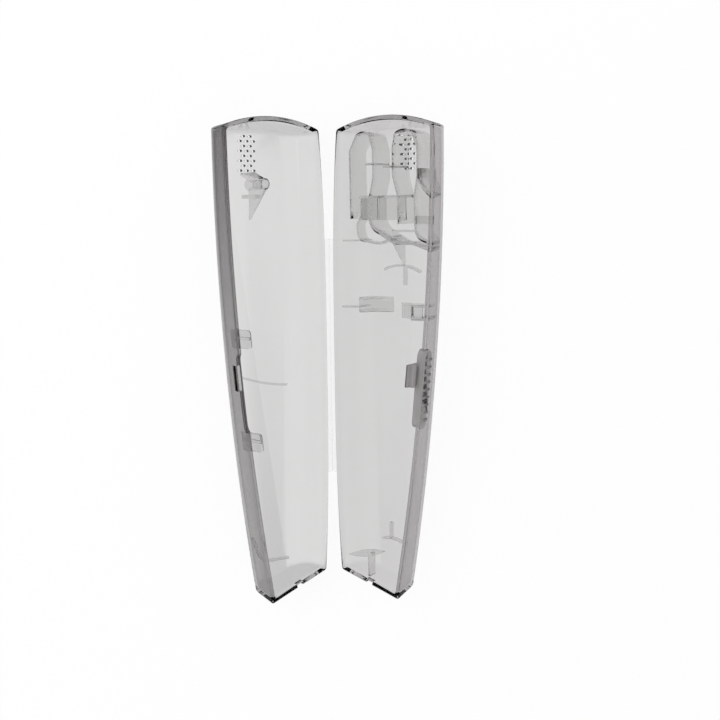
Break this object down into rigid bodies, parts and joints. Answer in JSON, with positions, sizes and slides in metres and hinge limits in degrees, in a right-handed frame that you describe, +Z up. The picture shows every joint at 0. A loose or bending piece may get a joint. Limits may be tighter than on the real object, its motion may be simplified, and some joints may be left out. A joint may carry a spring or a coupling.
{
  "type": "electric toothbrush travel case",
  "caption": "Slim clear two-half travel case for an electric toothbrush, with a living hinge, push-button latch, vents and moulded holders for the handle and brush heads.",
  "frame": {"origin": "on the ground under the hinge axis, at the middle of the case's length, with the case lying open on its spine", "axes": "+Z up, +Y along the hinge axis towards the top end with the vents, +X towards the base half with the latch button; the lid half is on the -X side"},
  "size_m": [0.1048, 0.2194, 0.0452],
  "materials": {
    "clear_plastic": "thin clear plastic with a light smoky grey tint, polished outside",
    "hinge_plastic": "very thin translucent white flexing strip",
    "latch_plastic": "clear smoky plastic, darker because it is thicker, ribbed face"
  },
  "bodies": {
    "base": {"base_shell": "clear_plastic", "brush_head_holder_inner": "clear_plastic", "brush_head_holder_outer": "clear_plastic", "holder_stiffener_inner": "clear_plastic", "holder_stiffener_outer": "clear_plastic", "holder_side_rib": "clear_plastic", "neck_bridge": "clear_plastic", "neck_rest_inner": "clear_plastic", "neck_rest_outer": "clear_plastic", "neck_shelf_inner": "clear_plastic", "neck_shelf_outer": "clear_plastic", "inner_well_wall": "clear_plastic", "outer_well_wall": "clear_plastic", "well_side_rib": "clear_plastic", "socket_rib": "clear_plastic", "compartment_wall": "clear_plastic", "compartment_gusset": "clear_plastic", "handle_bed_ribs": "clear_plastic", "handle_saddle_hinge_side": "clear_plastic", "handle_saddle_latch_side": "clear_plastic", "saddle_rib_hinge_side": "clear_plastic", "saddle_rib_latch_side": "clear_plastic", "foot_shelf": "clear_plastic", "foot_arc_rib": "clear_plastic", "foot_bar_rib": "clear_plastic", "hinge_strip_base_leaf": "hinge_plastic", "hinge_fold": "hinge_plastic"},
    "lid": {"lid_shell": "clear_plastic", "locating_tab_upper": "clear_plastic", "locating_tab_lower": "clear_plastic", "rim_peg": "clear_plastic", "presser_post": "clear_plastic", "presser_gusset": "clear_plastic", "presser_wing": "clear_plastic", "lid_cross_rib": "clear_plastic", "lid_foot_rib": "clear_plastic", "hinge_strip_lid_leaf": "hinge_plastic"},
    "latch": {"latch_button": "latch_plastic", "latch_hook": "latch_plastic"}
  },
  "joints": [
    {"name": "lid_hinge", "type": "hinge", "parent": "base", "child": "lid", "pos_m": [0, 0, 0.00788], "axis": [0, 1, 0], "range_deg": [-78, 102]},
    {"name": "latch_slide", "type": "slide", "parent": "base", "child": "latch", "axis": [-0.772, 0.1151, -0.6251], "range_m": [0, 0.0018], "stiffness_N_per_m": 1500}
  ]
}
